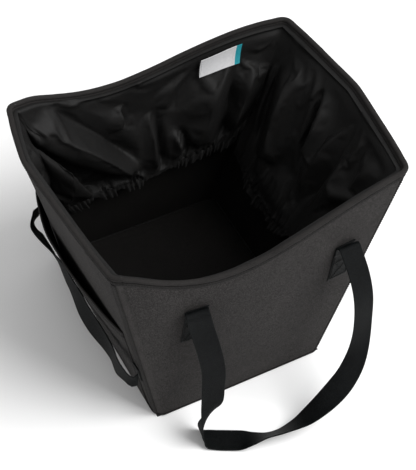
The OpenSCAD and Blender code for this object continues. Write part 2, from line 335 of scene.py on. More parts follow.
def dress(obj, mat, body=SHELL, slot=None, *replaced):
    """Gives a piece its material and body, and hides the CAD nodes that it stands for; slot is not used."""
    obj.data.materials.clear()
    obj.data.materials.append(MATS[mat])
    if body:
        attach(obj, body)
    if replaced:
        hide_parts(*replaced)
    return obj


# ---- materials
class Shade:
    """A Principled material, built node by node."""

    def __init__(self, name):
        self.mat = bpy.data.materials.new(name)
        self.mat.use_nodes = True
        self.tree = self.mat.node_tree
        self.tree.nodes.clear()
        out = self.node("OutputMaterial")
        self.bsdf = self.node("BsdfPrincipled")
        self.link(self.bsdf.outputs[0], out.inputs[0])
        self.place = self.node("TexCoord").outputs["Object"]
        MATS[name] = self.mat

    def node(self, kind, **props):
        n = self.tree.nodes.new("ShaderNode" + kind)
        for k, v in props.items():
            setattr(n, k, v)
        return n

    def link(self, a, b):
        self.tree.links.new(a, b)

    def math(self, op, a, b=0.0, c=0.0):
        """Arithmetic on sockets and numbers."""
        n = self.node("Math", operation=op)
        for i, v in enumerate((a, b, c)):
            if isinstance(v, (int, float)):
                n.inputs[i].default_value = v
            else:
                self.link(v, n.inputs[i])
        return n.outputs[0]

    def noise(self, scale, detail=3.0, rough=0.55):
        n = self.node("TexNoise")
        n.inputs["Scale"].default_value = scale
        n.inputs["Detail"].default_value = detail
        n.inputs["Roughness"].default_value = rough
        self.link(self.place, n.inputs["Vector"])
        return n.outputs["Fac"]

    def surface(self, colour, rough, specular=None):
        """Links colour and roughness to the surface."""
        self.link(colour, self.bsdf.inputs["Base Color"])
        self.link(rough, self.bsdf.inputs["Roughness"])
        if specular is not None:
            self.bsdf.inputs["Specular IOR Level"].default_value = specular

    def threads(self, pitch_u, pitch_v):
        """How many threads along and across a point lies, from the cloth coordinates."""
        uv = self.node("UVMap", uv_map="weave")
        xy = self.node("SeparateXYZ")
        self.link(uv.outputs[0], xy.inputs[0])
        a = self.math("DIVIDE", xy.outputs[0], pitch_u)
        b = self.math("DIVIDE", xy.outputs[1], pitch_v)
        return a, b

    def cell_noise(self, a, b):
        v = self.node("CombineXYZ")
        self.link(self.math("FLOOR", a), v.inputs[0])
        self.link(self.math("FLOOR", b), v.inputs[1])
        n = self.node("TexWhiteNoise", noise_dimensions="2D")
        self.link(v.outputs[0], n.inputs["Vector"])
        return n.outputs["Value"]

    def ramp(self, fac, low, high, colours):
        """Two or three colours, as fac goes from low to high."""
        n = self.node("ValToRGB")
        el = n.color_ramp.elements
        el[0].position, el[1].position = low, high
        el[0].color, el[1].color = (*colours[0], 1), (*colours[-1], 1)
        if len(colours) == 3:
            mid = el.new((low + high) / 2)
            mid.color = (*colours[1], 1)
        self.link(fac, n.inputs[0])
        return n.outputs[0]

    def bump(self, height, strength, distance, under=None):
        n = self.node("Bump")
        n.inputs["Strength"].default_value = strength
        n.inputs["Distance"].default_value = distance
        self.link(height, n.inputs["Height"])
        if under is not None:
            self.link(under, n.inputs["Normal"])
        return n.outputs[0]


def cloth(name, colours, pitch, rough, weave_depth, sheen=0.0, specular=0.4, rib=False,
          patches=9.0, soft_bump=0.0, wear_colour=None, mottle=0.22, thread=0.35):
    """Woven cloth. colours go from its darkest to its lightest threads; pitch is the thread spacing."""
    s = Shade(name)
    a, b = s.threads(pitch[0], pitch[1])
    over = s.math("ABSOLUTE", s.math("SINE", s.math("MULTIPLY", a, math.pi)))
    along = s.math("ABSOLUTE", s.math("SINE", s.math("MULTIPLY", b, math.pi)))
    if rib:
        height = s.math("MULTIPLY", s.math("POWER", along, 0.6), s.math("MULTIPLY_ADD", over, 0.5, 0.5))
    else:
        height = s.math("POWER", s.math("MULTIPLY", over, along), 0.7)
    one = s.cell_noise(a, b)
    big = s.noise(patches, 4.0)
    fine = s.noise(520.0, 2.0, 0.7)
    tone = s.math("ADD", s.math("MULTIPLY", one, thread), s.math("MULTIPLY", big, 1.0 - thread - mottle))
    tone = s.math("ADD", tone, s.math("MULTIPLY", fine, mottle))
    # painted shade: the colour is darker where the weave dips between the threads
    tone = s.math("MULTIPLY", tone, s.math("MULTIPLY_ADD", height, 0.35, 0.72))
    colour = s.ramp(tone, 0.18, 0.72, colours)
    if wear_colour:
        attr = s.node("Attribute", attribute_name="wear")
        patchy = s.math("MULTIPLY_ADD", s.noise(70.0, 5.0, 0.65), 1.6, -0.35)
        amount = s.math("MULTIPLY", attr.outputs["Fac"], patchy)
        mix = s.node("Mix", data_type="RGBA")
        clamp = s.math("MAXIMUM", amount, 0.0)
        s.link(clamp, mix.inputs[0])
        s.link(colour, mix.inputs[6])
        mix.inputs[7].default_value = (*wear_colour, 1)
        colour = mix.outputs[2]
    s.surface(colour, s.math("MULTIPLY_ADD", s.noise(34.0, 4.0), 0.16, rough - 0.08), specular)
    s.bsdf.inputs["Sheen Weight"].default_value = sheen
    s.bsdf.inputs["Sheen Tint"].default_value = (*colours[-1], 1)
    normal = None
    if soft_bump:
        normal = s.bump(s.noise(42.0, 3.0), 1.0, soft_bump)
    normal = s.bump(height, 0.9, weave_depth, normal)
    s.link(normal, s.bsdf.inputs["Normal"])


def plain(name, colours, grain, rough, rough_grain, rough_spread, specular=None):
    """A surface whose colour and roughness vary from place to place."""
    s = Shade(name)
    s.surface(s.ramp(s.noise(*grain), 0.3, 0.7, colours),
              s.math("MULTIPLY_ADD", s.noise(*rough_grain), rough_spread, rough), specular)
    return s


def hard(name, colours, rough, metal):
    """A finely pitted board or strip."""
    s = plain(name, colours, (60.0, 6.0), rough, (140.0, 4.0), 0.25)
    s.bsdf.inputs["Metallic"].default_value = metal
    s.link(s.bump(s.noise(420.0, 3.0), 0.4, 0.0002), s.bsdf.inputs["Normal"])


def materials():
    warm = (0.0055, 0.0051, 0.0049), (0.0215, 0.02, 0.0195), (0.054, 0.0507, 0.0495)
    cloth("shell_cloth", warm, (0.00085, 0.00085), 0.88, 0.00014, sheen=0.04, specular=0.12, patches=5.0,
          soft_bump=0.0006, wear_colour=(0.05, 0.0465, 0.0455), mottle=0.42)
    cloth("inner_cloth", ((0.0028, 0.0026, 0.0025), (0.0058, 0.0054, 0.0051), (0.011, 0.0102, 0.0095)),
          (0.0006, 0.0006), 0.88, 0.00008, sheen=0.02, specular=0.08, patches=7.0, soft_bump=0.0004)
    cloth("tape", ((0.004, 0.0037, 0.0035), (0.012, 0.0111, 0.0107), (0.024, 0.0223, 0.0216)),
          (0.0006, 0.0011), 0.8, 0.00010, sheen=0.02, specular=0.12, rib=True,
          wear_colour=(0.019, 0.0176, 0.017))
    cloth("webbing", ((0.0007, 0.0009, 0.001), (0.0023, 0.0028, 0.003), (0.0068, 0.0078, 0.008)),
          (0.0013, 0.0010), 0.55, 0.00022, specular=0.06, rib=True, patches=12.0,
          wear_colour=(0.0052, 0.006, 0.0062))
    cloth("nylon", ((0.0018, 0.0018, 0.0017), (0.0062, 0.006, 0.0059), (0.0145, 0.0141, 0.0138)),
          (0.00045, 0.00045), 0.60, 0.00006, sheen=0.03, specular=0.2, patches=14.0, soft_bump=0.0004,
          mottle=0.3)
    cloth("label_cloth", ((0.46, 0.46, 0.47), (0.57, 0.57, 0.58), (0.66, 0.66, 0.67)),
          (0.0004, 0.0006), 0.55, 0.00006, sheen=0.1, rib=True)
    cloth("teal_cloth", ((0.008, 0.16, 0.2), (0.014, 0.25, 0.30), (0.03, 0.34, 0.4)),
          (0.0004, 0.0006), 0.55, 0.00006, sheen=0.1, rib=True)
    plain("thread", ((0.003, 0.003, 0.003), (0.008, 0.0078, 0.0078)), (900.0,), 0.55, (300.0,), 0.2, 0.15)
    plain("pale_thread", ((0.55, 0.55, 0.56), (0.75, 0.75, 0.76)), (900.0,), 0.5, (300.0,), 0.2)
    hard("board", ((0.005, 0.005, 0.0048), (0.0085, 0.0085, 0.008)), 0.58, 0.0)
    hard("spring", ((0.10, 0.10, 0.105), (0.16, 0.16, 0.165)), 0.22, 1.0)
    plain("floor", ((0.88, 0.88, 0.88), (0.9, 0.9, 0.9)), (3.0, 4.0), 0.86, (8.0, 3.0), 0.06, 0.05)


materials()

# ---- rigid pieces inside, kept from the CAD
BOARDS = ("front_board", "back_board", "base_board", "right_board_front", "right_board_back",
          "left_board_front", "left_board_back")


def finish_cad(node, mat):
    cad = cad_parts[node]
    cad.data.materials.clear()
    cad.data.materials.append(MATS[mat])


for board in BOARDS:
    finish_cad(board, "board")
finish_cad("rim_frame", "spring")

# ---- outer and inner cloth of the four walls
SIDE_NAMES = ("front", "right", "back", "left")
TOP_DROP = 0.0095            # the cloth ends this far below the rim, inside the binding
INNER_FOOT = 0.0072          # the inner cloth starts at this height, on the floor cloth


def wall_heights(side, e, n, bottom=0.0):
    """Height fractions for the rows of one wall; the last row lies inside the binding."""
    rise = H - (softened(DIPS[side], e) if side % 2 == 0 else 0 * e)
    top = 1 - TOP_DROP / rise
    t = np.linspace(0, 1, n)[:, None]
    return bottom + (top - bottom)[None] * t


def panels():
    """The outer and the inner cloth of the walls, slack over the boards between the stiff edges."""
    e = side_steps(110, 9)
    for side, word in enumerate(SIDE_NAMES):
        for inner in (False, True):
            h = wall_heights(side, e, 76, INNER_FOOT / H if inner else 0.0)
            ee = np.broadcast_to(e, h.shape)
            calm = smoothstep(0.02, 0.14, h) * smoothstep(0.99, 0.9, h)
            calm = calm * smoothstep(0, 4, ee) * smoothstep(20, 16, ee)
            flat = wall(side, ee, h)
            if inner:
                rough = waves(51 + side, flat, 0.07) * 0.5 + waves(71 + side, flat, 0.02) * 0.16
                slack = calm * np.clip(0.0004 + 0.0004 * rough, 0, 0.0012)
                obj = thin_sheet(word + "_inner_cloth", wall(side, ee, h, FACING_D + 0.0001),
                                 wall(side, ee, h, WALL_D + slack), flip=True)
                dress(obj, "inner_cloth", SHELL, "inner_cloth", word + "_facing")
            else:
                rough = waves(11 + side, flat, 0.085) * 0.55 + waves(31 + side, flat, 0.026) * 0.16
                slack = calm * np.clip(0.00055 + 0.0006 * rough, 0, 0.0016)
                corners = np.maximum(smoothstep(3.2, 1, ee), smoothstep(16.8, 19, ee))
                obj = thin_sheet(word + "_outer_cloth", wall(side, ee, h, -slack), wall(side, ee, h, 0.0010),
                                 np.maximum(smoothstep(0.03, 0.0, h), 0.7 * corners), flip=True)
                dress(obj, "shell_cloth", SHELL, "shell_cloth", word + "_panel")


panels()


# ---- base
def plate(name, node, crown, finish, groove=None):
    """A flat cloth-covered plate as big as its CAD node, with a crown and a welt where groove says."""
    lo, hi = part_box(node)
    t = np.linspace(-1, 1, 121)
    t = np.sign(t) * np.abs(t) ** 0.85
    X, Y = np.meshgrid(t * hi.x, t * hi.y)
    inset = np.minimum(hi.x - np.abs(X), hi.y - np.abs(Y))
    Z = hi.z - 0.0009 * np.exp(-(inset / 0.0011) ** 2)
    if groove:
        Z = Z - 0.0004 * np.exp(-((inset - groove) / 0.0016) ** 2)
    uneven = 0.00025 * waves(5, np.stack([X, Y], -1), 0.05)
    Z = Z + crown * smoothstep(0, 0.08, inset) + uneven * smoothstep(0, 0.03, inset)
    top = np.stack([X, Y, np.maximum(Z, lo.z + 0.0002)], -1)
    obj = grid(name, top, np.stack([X, Y], -1))
    # the edge and the underside
    bm = bmesh.new()
    bm.from_mesh(obj.data)
    layer = bm.loops.layers.uv["weave"]
    edges = [e for e in bm.edges if e.is_boundary]
    new = bmesh.ops.extrude_edge_only(bm, edges=edges)["geom"]
    low_verts = [v for v in new if isinstance(v, bmesh.types.BMVert)]
    low_edges = [e for e in new if isinstance(e, bmesh.types.BMEdge)]
    for v in low_verts:
        v.co.z = lo.z
    under = bmesh.ops.contextual_create(bm, geom=low_edges)["faces"]
    for f in list(bm.faces):
        if f in under or any(v in low_verts for v in f.verts):
            for loop in f.loops:
                loop[layer].uv = (loop.vert.co.x, loop.vert.co.y)
    bmesh.ops.recalc_face_normals(bm, faces=bm.faces)
    bm.to_mesh(obj.data)
    bm.free()
    obj.data.shade_smooth()
    obj.data.set_sharp_from_angle(angle=math.radians(50))
    dress(obj, finish, SHELL, finish, node)


def base():
    """The floor inside, the underside, which is flat because it stands on the floor, and the piping."""
    plate("floor_cloth", "base_facing", 0.0012, "inner_cloth", groove=0.011)
    plate("base_cloth", "base_panel", 0.0, "shell_cloth")
    k = ring_steps(60, 9)
    a = np.linspace(0, 2 * np.pi, 13)[:-1]
    P = np.stack([ring(k, 0.003 / H, -0.0006 - 0.0011 * math.cos(x), 0.0013 * math.sin(x)) for x in a])
    P[..., 2] = np.maximum(P[..., 2], 0.0012)
    wear = np.broadcast_to((np.cos(a) > 0.2)[:, None] * 0.8, P.shape[:2])
    obj = tube("base_piping", P, flip=True, sharp=70, wear=wear)
    dress(obj, "tape", SHELL, "binding_tape", "base_seam")


base()


# ---- rim
def rim():
    """The tape folded over the edge of the walls, and its two rows of stitches."""
    k = ring_steps(120, 12)
    # depth inwards from the wall's outer surface, and height, of the tape's section, in millimetres
    section = [(-0.6, -13.0), (-1.15, -12.8), (-1.3, -12.0), (-1.3, -9.4), (-1.3, -7.2), (-1.2, -6.6),
               (-0.3, -6.2), (-0.3, -5.2), (-1.3, -4.7), (-1.75, -3.4), (-1.7, -1.9), (-1.1, -0.6),
               (0.0, -0.05), (1.4, 0.15), (2.6, 0.1), (3.8, -0.25), (4.6, -1.0), (5.0, -2.0),
               (5.1, -3.2), (4.75, -4.0), (4.0, -4.5), (4.75, -5.0), (5.3, -5.8), (5.35, -7.0),
               (5.35, -8.5), (4.9, -8.9), (4.6, -8.5), (4.6, -1.6), (3.0, -1.1), (1.0, -1.1),
               (-0.28, -1.6), (-0.28, -12.8)]
    P = np.stack([ring(k, 1.0, d / 1000, z / 1000) for d, z in section])
    # the outer 24 lines of the tape are not perfectly even
    P[:24, :, 2] += (waves(3, P, 0.03) * 0.00014 + waves(4, P, 0.009) * 0.00006)[:24]
    # it is rubbed where it turns over the edge
    wear = np.zeros(P.shape[:2])
    wear[9:18] = np.array([0.4, 0.7, 0.9, 1, 1, 1, 0.9, 0.7, 0.4])[:, None]
    obj = tube("rim_tape", P, flip=True, sharp=60, wear=wear)
    dress(obj, "tape", SHELL, "binding_tape", "rim_binding")
    whole = np.append(k, ROUND)
    outwards = unit(ring(whole, 1.0, -0.01) - ring(whole, 1.0, 0.0))
    rows = [(ring(whole, 1.0, -0.00135, z), outwards) for z in (-0.0105, -0.0072)]
    stitches("rim_stitches", rows, "binding_tape")


rim()


# ---- corner seams
def corner_seams():
    """The folded tape up each corner, and a row of stitches on both its sides."""
    rows = []
    for side, name in enumerate(("front_right", "back_right", "back_left", "front_left")):
        h = np.linspace(0.0055 / H, 0.955, 90)[:, None]
        # the tape's section: steps round the corner, how far it stands out, and how worn it is
        steps = np.array([18.0, 18.1, 18.35, 18.7, 19.0, 19.3, 19.65, 19.9, 20.0])
        stand = np.array([0.25, 0.75, 1.05, 1.15, 1.0, 1.15, 1.05, 0.75, 0.25]) / 1000
        worn = np.array([0.2, 0.6, 0.9, 0.7, 0.3, 0.7, 0.9, 0.6, 0.2])
        hh, ee = np.broadcast_arrays(h, steps[None])
        uneven = waves(90 + side, np.stack([hh * 0.33, ee * 0.003], -1), 0.03) * 0.00008
        obj = thin_sheet("corner_seam_" + name, wall(side, ee, hh, -stand[None] - 0.00025 + uneven),
                         wall(side, ee, hh, -0.0002), np.broadcast_to(worn, hh.shape), flip=True, sharp=60)
        dress(obj, "tape", SHELL, "binding_tape", "seam_" + name)
        hs = np.linspace(0.03, 0.95, 60)
        for e in (18.35, 19.65):
            p, q = wall(side, e, hs, -0.00135), wall(side, e, hs, -0.011)
            rows.append((p, unit(q - p)))
    stitches("corner_stitches", rows, "binding_tape")


corner_seams()


# ---- collar
# Each fold, in millimetres: its crest as (along the wall, up) from the rim down, how far it stands off, how
# deep the valley beside it is, the widths of its gentle and its steep flank, and the side that is steep.
BACK_FOLDS = [
    ([(-196, 338), (-176, 289), (-149, 239), (-117, 168), (-90, 122)], 18, 13, 17, 14, -1),
    ([(-186, 340), (-157, 308), (-130, 274), (-94, 239), (-59, 200), (-22, 150)], 18, 13, 20, 14, -1),
    ([(-82, 187), (-92, 162), (-89, 128)], 6, 5, 9, 6, -1),
    ([(2, 240), (9, 165), (14, 112)], 7, 8, 16, 8, -1),
    ([(-38, 262), (-42, 222)], 4, 4, 10, 7, -1),
    ([(34, 196), (48, 168), (40, 143)], 6, 6, 10, 7, -1),
    ([(118, 300), (98, 240), (88, 150)], 13, 9, 30, 12, -1),
    ([(168, 322), (140, 250), (120, 165)], 12, 6, 14, 12, -1),
    ([(-135, 316), (-118, 296)], 2.5, 2.5, 7, 5, -1),
    ([(62, 296), (36, 262), (22, 230)], 3.5, 3, 18, 12, -1)]
RIGHT_FOLDS = [
    ([(100, 326), (88, 270), (82, 205), (80, 160)], 19, 10, 24, 10, -1),
    ([(28, 306), (14, 268), (10, 215)], 12, 8, 20, 9, -1),
    ([(-40, 322), (-26, 280), (-16, 215), (-6, 168)], 7, 10, 16, 12, 1),
    ([(-112, 314), (-86, 262), (-60, 205)], 9, 6, 34, 20, 1),
    ([(58, 318), (44, 300), (36, 282)], 3, 2.5, 7, 5, 1),
    ([(-70, 322), (-62, 296), (-60, 270)], 3, 2.5, 9, 7, 1)]
FRONT_FOLDS = [
    ([(190, 322), (165, 270), (130, 200), (110, 150)], 16, 10, 24, 13, 1),
    ([(70, 280), (66, 215), (60, 150)], 9, 7, 22, 10, 1),
    ([(-20, 284), (-12, 220), (0, 150)], 9, 7, 22, 10, -1),
    ([(-110, 296), (-92, 230), (-80, 150)], 10, 7, 20, 11, -1),
    ([(-192, 326), (-168, 280), (-140, 215), (-118, 150)], 16, 10, 24, 13, -1)]
LEFT_FOLDS = [
    ([(-128, 322), (-104, 270), (-84, 200), (-76, 150)], 5, 4, 16, 11, 1),
    ([(-30, 316), (-22, 250), (-20, 160)], 4, 4, 18, 10, -1),
    ([(55, 318), (46, 260), (40, 170)], 4, 4, 18, 10, 1),
    ([(126, 322), (106, 270), (88, 200), (80, 140)], 5, 4, 16, 11, -1)]


HEM_HANG = 0.0205            # how far inside the collar's seam its hem hangs
BILLOW = 1.55                # just below the seam the cloth stands in by this much more than the hem
FOLD_GAIN = 1.55             # the folds are deeper than measured, so that they read as in the photograph


def fold_offset(p, crest, stand, valley, gentle, steep, side):
    """How far one fold moves points p inwards; p and the crest are (along, up) in millimetres."""
    line = smooth_path(crest, 6)
    seg = np.diff(line, axis=0)
    size = np.linalg.norm(seg, axis=1)
    start = np.concatenate([[0], np.cumsum(size)])
    rel = p[..., None, :] - line[:-1]
    along = np.clip((rel * seg).sum(-1) / size**2, 0, 1)
    gap = rel - along[..., None] * seg
    dist = np.linalg.norm(gap, axis=-1)
    i = dist.argmin(-1)[..., None]
    near = np.take_along_axis(dist, i, -1)[..., 0]
    cross = np.take_along_axis(seg[:, 0] * rel[..., 1] - seg[:, 1] * rel[..., 0], i, -1)[..., 0]
    t = np.take_along_axis(start[:-1] + along * size, i, -1)[..., 0] / start[-1]
    s = near * np.sign(cross) * -side
    up = np.where(s < 0, np.exp(-(s / gentle) ** 2), 1 - smoothstep(0, steep, s))
    beyond = np.maximum(s - steep, 0) / (0.9 * steep)
    down = np.where(s < 0, 0, smoothstep(0, steep, s) * np.exp(-beyond ** 2))
    grow = smoothstep(-0.15, 0.5, t) * (1 - 0.45 * smoothstep(0.8, 1, t))
    ends = smoothstep(0.0, 0.12, t) * (1 - 0.6 * smoothstep(0.9, 1.0, t))
    return FOLD_GAIN * grow * ends * (stand * up - valley * down)


def hem_height(k):
    """Height of the gathered hem round the basket: lower at the back left, higher at the back right."""
    at = [0, 10, 20, 26, 30, 34, 38, 41, 44, 47, 50, 53, 56, 60, 70, 80]
    z = [142, 138, 142, 134, 102, 110, 142, 160, 152, 143, 124, 127, 128, 132, 136, 142]
    return sum(np.interp(np.mod(k + j * 0.5, ROUND), at, z) for j in range(-3, 4)) / 7000


def bunching(k):
    """How tightly the hem is bunched, from 0 to 1: the elastic draws it into clusters."""
    at = [(56.2, 1.3), (53.4, 0.8), (51.2, 0.9), (46.0, 2.0), (43.2, 1.0), (33.5, 1.6), (29.8, 1.4),
          (25.5, 1.0), (21.5, 1.0), (16.5, 1.2), (10.5, 1.6), (5.0, 1.3), (0.5, 1.0), (76.0, 1.3),
          (70.5, 1.4), (65.0, 1.1), (61.2, 0.8)]
    off = [np.mod(k - c + ROUND / 2, ROUND) - ROUND / 2 for c, _ in at]
    return np.clip(sum(np.exp(-(o / w) ** 4) for o, (_, w) in zip(off, at)), 0.18, 1)


def reach(k):
    """How far the collar hangs in from the wall, as a share: the left side lies flatter than the others."""
    return 1 - 0.45 * smoothstep(60.0, 63.5, k) * smoothstep(80.0, 76.5, k)


def ring_dip(k):
    """How far the rim dips at k; the short sides do not."""
    k = np.mod(np.asarray(k, float), ROUND)
    side = np.minimum((k // STEPS).astype(int), 3)
    out = np.zeros_like(k)
    for i in (0, 2):
        out = np.where(side == i, softened(DIPS[i], k - STEPS * i), out)
    return out


def hem_line(k, lower=0.0, inward=0.0):
    """The line of the elastic in the hem."""
    return ring(k, (hem_height(k) - lower) / (H - ring_dip(k)), COLLAR_D + HEM_HANG * reach(k) + inward)


def proxy(name, P, turned=False):
    """A bare mesh, closed round the basket, which only the cloth simulation uses."""
    rows, cols = P.shape[:2]
    faces = []
    for r in range(rows - 1):
        for c in range(cols):
            quad = [(r, c), (r, c + 1), (r + 1, c + 1), (r + 1, c)]
            if turned:
                quad[1], quad[3] = quad[3], quad[1]
            faces.append([i * cols + j % cols for i, j in quad])
    return make_mesh(name, P.reshape(-1, 3), faces)


def loosely(P, frames=22):
    """The collar as it settles: held along the rim and by the elastic, slack in between."""
    rows, cols = P.shape[:2]
    loose = proxy("slack", P)
    # the inner face of the walls, for the cloth to rest against
    k = np.linspace(0, ROUND, 161)[:-1]
    h = np.linspace(0.2, 1.0, 12)[:, None]
    face = proxy("wall_face", ring(k, h, WALL_D + 0.0008), turned=True)
    face.modifiers.new("collision", "COLLISION")
    face.collision.thickness_outer = 0.0012
    hold = loose.vertex_groups.new(name="hold")
    hold.add(list(range(cols)) + list(range((rows - 1) * cols, rows * cols)), 1.0, "REPLACE")
    hold.add(list(range((rows - 2) * cols, (rows - 1) * cols)), 0.5, "REPLACE")
    stretch = loose.vertex_groups.new(name="loose")
    for r in range(rows):
        share = float(smoothstep(0.05, 0.9, r / (rows - 1)))
        stretch.add(list(range(r * cols, (r + 1) * cols)), share, "REPLACE")
    mod = loose.modifiers.new("cloth", "CLOTH")
    st = mod.settings
    st.quality, st.mass, st.time_scale = 6, 0.12, 1.0
    st.tension_stiffness, st.compression_stiffness, st.shear_stiffness = 18, 6, 6
    st.bending_stiffness, st.air_damping = 2.5, 2.0
    st.tension_damping, st.shear_damping, st.bending_damping = 6, 6, 0.8
    st.vertex_group_mass = "hold"
    st.effector_weights.gravity = 0.25
    # the cloth is a little longer than its shape at the start, most at the hem
    st.vertex_group_shrink = "loose"
    st.shrink_min, st.shrink_max = 0.0, -0.008
    touch = mod.collision_settings
    touch.use_self_collision, touch.use_collision = False, True
    touch.distance_min, touch.collision_quality = 0.0012, 2
    scene.frame_start, scene.frame_end = 1, frames
    mod.point_cache.frame_start, mod.point_cache.frame_end = 1, frames
    for f in range(1, frames + 1):
        scene.frame_set(f)
    settled = loose.evaluated_get(bpy.context.evaluated_depsgraph_get())
    out = np.zeros(len(settled.data.vertices) * 3, np.float32)
    settled.data.vertices.foreach_get("co", out)
    for obj in (loose, face):
        data = obj.data
        bpy.data.objects.remove(obj, do_unlink=True)
        bpy.data.meshes.remove(data)
    scene.frame_set(1)
    return out.reshape(rows, cols, 3).astype(float)


def finer(P, n, close=False):
    """The grid with n - 1 more rows, or columns when it is closed, on a smooth curve between two of them."""
    if close:
        P = np.swapaxes(P, 0, 1)
        P = np.concatenate([P[-1:], P, P[:2]])
    else:
        P = np.concatenate([2 * P[:1] - P[1:2], P, 2 * P[-1:] - P[-2:-1]])
    t = (np.arange(n) / n)[:, None, None, None]
    Q = catmull_rom(P[:-3], P[1:-2], P[2:-1], P[3:], t)
    Q = np.swapaxes(Q, 0, 1).reshape(-1, *P.shape[1:])
    if not close:
        return np.concatenate([Q, P[-2:-1]])
    return np.swapaxes(Q, 0, 1)


def collar():
    """The gathered nylon: folds placed as in the photograph, settled as cloth, then pleated at the hem."""
    cols, rows = 340, 44
    k = np.linspace(0, ROUND, cols + 1)[:-1]
    v = np.linspace(0, 1, rows)[:, None]
    rise = H - ring_dip(k)
    h_top = 1 - 0.0068 / rise
    h_bot = hem_height(k) / rise
    h = h_top + (h_bot - h_top) * v
    # the stiff seam throws the cloth out before it drops
    throw = 0.19 * (1 + 0.3 * np.clip(waves(18, k[:, None], 6.0), -1.5, 1.5))
    depth = COLLAR_D + HEM_HANG * reach(k) * BILLOW * (1 - np.exp(-((v / throw) ** 1.4))) * (1 - 0.355 * v)
    kk = np.broadcast_to(k[None], h.shape)
    P = ring(kk, h, depth)
    inward = unit(ring(kk, h, depth + 0.004) - P)
    move = np.zeros_like(h)
    for folds, axis, here in ((FRONT_FOLDS, 0, P[..., 1] < 0), (BACK_FOLDS, 0, P[..., 1] > 0),
                              (RIGHT_FOLDS, 1, P[..., 0] > 0), (LEFT_FOLDS, 1, P[..., 0] < 0)):
        flat = P[..., [axis, 2]] * 1000
        # each wall's folds fade out round the corners
        other = np.abs(P[..., 1 - axis]) * 1000
        fade = smoothstep(80, 118, other)
        for fold in folds:
            move += np.where(here, fold_offset(flat, *fold) * fade, 0)
    # on the right side a slack pouch hangs over the elastic
    pouch = np.exp(-((P[..., 1] - 0.030) / 0.046) ** 4 - ((P[..., 2] - 0.150) / 0.045) ** 2)
    move += np.where(P[..., 0] > 0.1, 15 * pouch, 0)
    calm = smoothstep(0, 0.16, v) * (1 - 0.75 * smoothstep(0.86, 1, v))
    bunch = bunching(kk) * smoothstep(0.74, 1.0, v)
    pleat = np.sin(kk * 2 * np.pi / 0.8 + 1.5 * waves(14, kk[..., None], 2.2))
    slack = 0.0016 * waves(15, np.stack([kk * 0.014, v * 0.2 + 0 * kk], -1), 0.045)
    move = move * calm / 1000 + slack * calm + 0.0021 * pleat * bunch * smoothstep(1.02, 0.9, v)
    P = P + inward * move[..., None]
    P[-1] = hem_line(k) + inward[-1] * (0.0009 * pleat[-1] * bunching(k))[:, None]
    P = loosely(P)
    P = finer(finer(P, 3, True), 2)
    # fine pleats just above the elastic
    k = np.linspace(0, ROUND, P.shape[1] + 1)[:-1]
    v = np.linspace(0, 1, P.shape[0])[:, None]
    inward = unit(ring(k, 0.45, 0.02) - ring(k, 0.45, 0.01))
    fine = np.sin(k * 2 * np.pi / 0.46 + 2.0 * waves(16, k[:, None], 1.4))
    fine = fine + 0.5 * waves(17, k[:, None], 0.35)
    P = P + inward * (0.0017 * fine * bunching(k) * smoothstep(0.885, 0.975, v))[..., None]
    obj = grid("collar_cloth", P, cloth_uv(P, True), close_u=True, sharp=80)
    dress(obj, "nylon", SHELL, "collar_nylon", "collar")
    return obj


COLLAR = collar()


def hem():
    """The gathered casing of the elastic, and the frill that hangs below it."""
    k = np.linspace(0, ROUND, 1921)[:-1]
    bunch = bunching(k)
    phase = k * 2 * np.pi / 0.42 + 2.4 * waves(21, k[:, None], 1.6)
    wave, wave2 = np.sin(phase), np.sin(phase * 0.53 + 1.0)
    a = np.linspace(0, 2 * np.pi, 15)[:-1]
    P = []
    for x in a:
        fat = 0.0012 + bunch * (0.0004 * wave + 0.0003 * wave2) * (0.6 + 0.4 * math.cos(x))
        P.append(hem_line(k, fat * math.sin(x) + 0.0006 * bunch * wave2, fat * 0.9 * math.cos(x) - 0.0016))
    P = np.stack(P)
    obj = tube("collar_hem_casing", P, sharp=80)
    dress(obj, "nylon", SHELL, "collar_nylon", "collar_elastic")
    rows = np.linspace(0, 1, 9)[:, None]
    long = 0.0035 + 0.0085 * bunch + 0.0014 * bunch * np.sin(phase * 0.31) + 0.0009 * bunch * wave2
    swing = bunch * (0.0024 * wave + 0.0013 * wave2) * rows**0.7 + 0.003 * bunch * rows
    Q = np.stack([hem_line(k, long * r[0] - 0.0004, s) for r, s in zip(rows, swing)])
    frill = grid("collar_frill", Q, cloth_uv(Q, True), close_u=True, sharp=80)
    dress(frill, "nylon", SHELL, "collar_nylon")


hem()


# ---- webbing
WEBBING_W, WEBBING_T = 0.030, 0.0018


def fill_ends(obj):
    """Closes the two open ends of a long strip."""
    bm = bmesh.new()
    bm.from_mesh(obj.data)
    bmesh.ops.holes_fill(bm, edges=[e for e in bm.edges if e.is_boundary], sides=0)
    bmesh.ops.recalc_face_normals(bm, faces=bm.faces)
    bm.to_mesh(obj.data)
    bm.free()


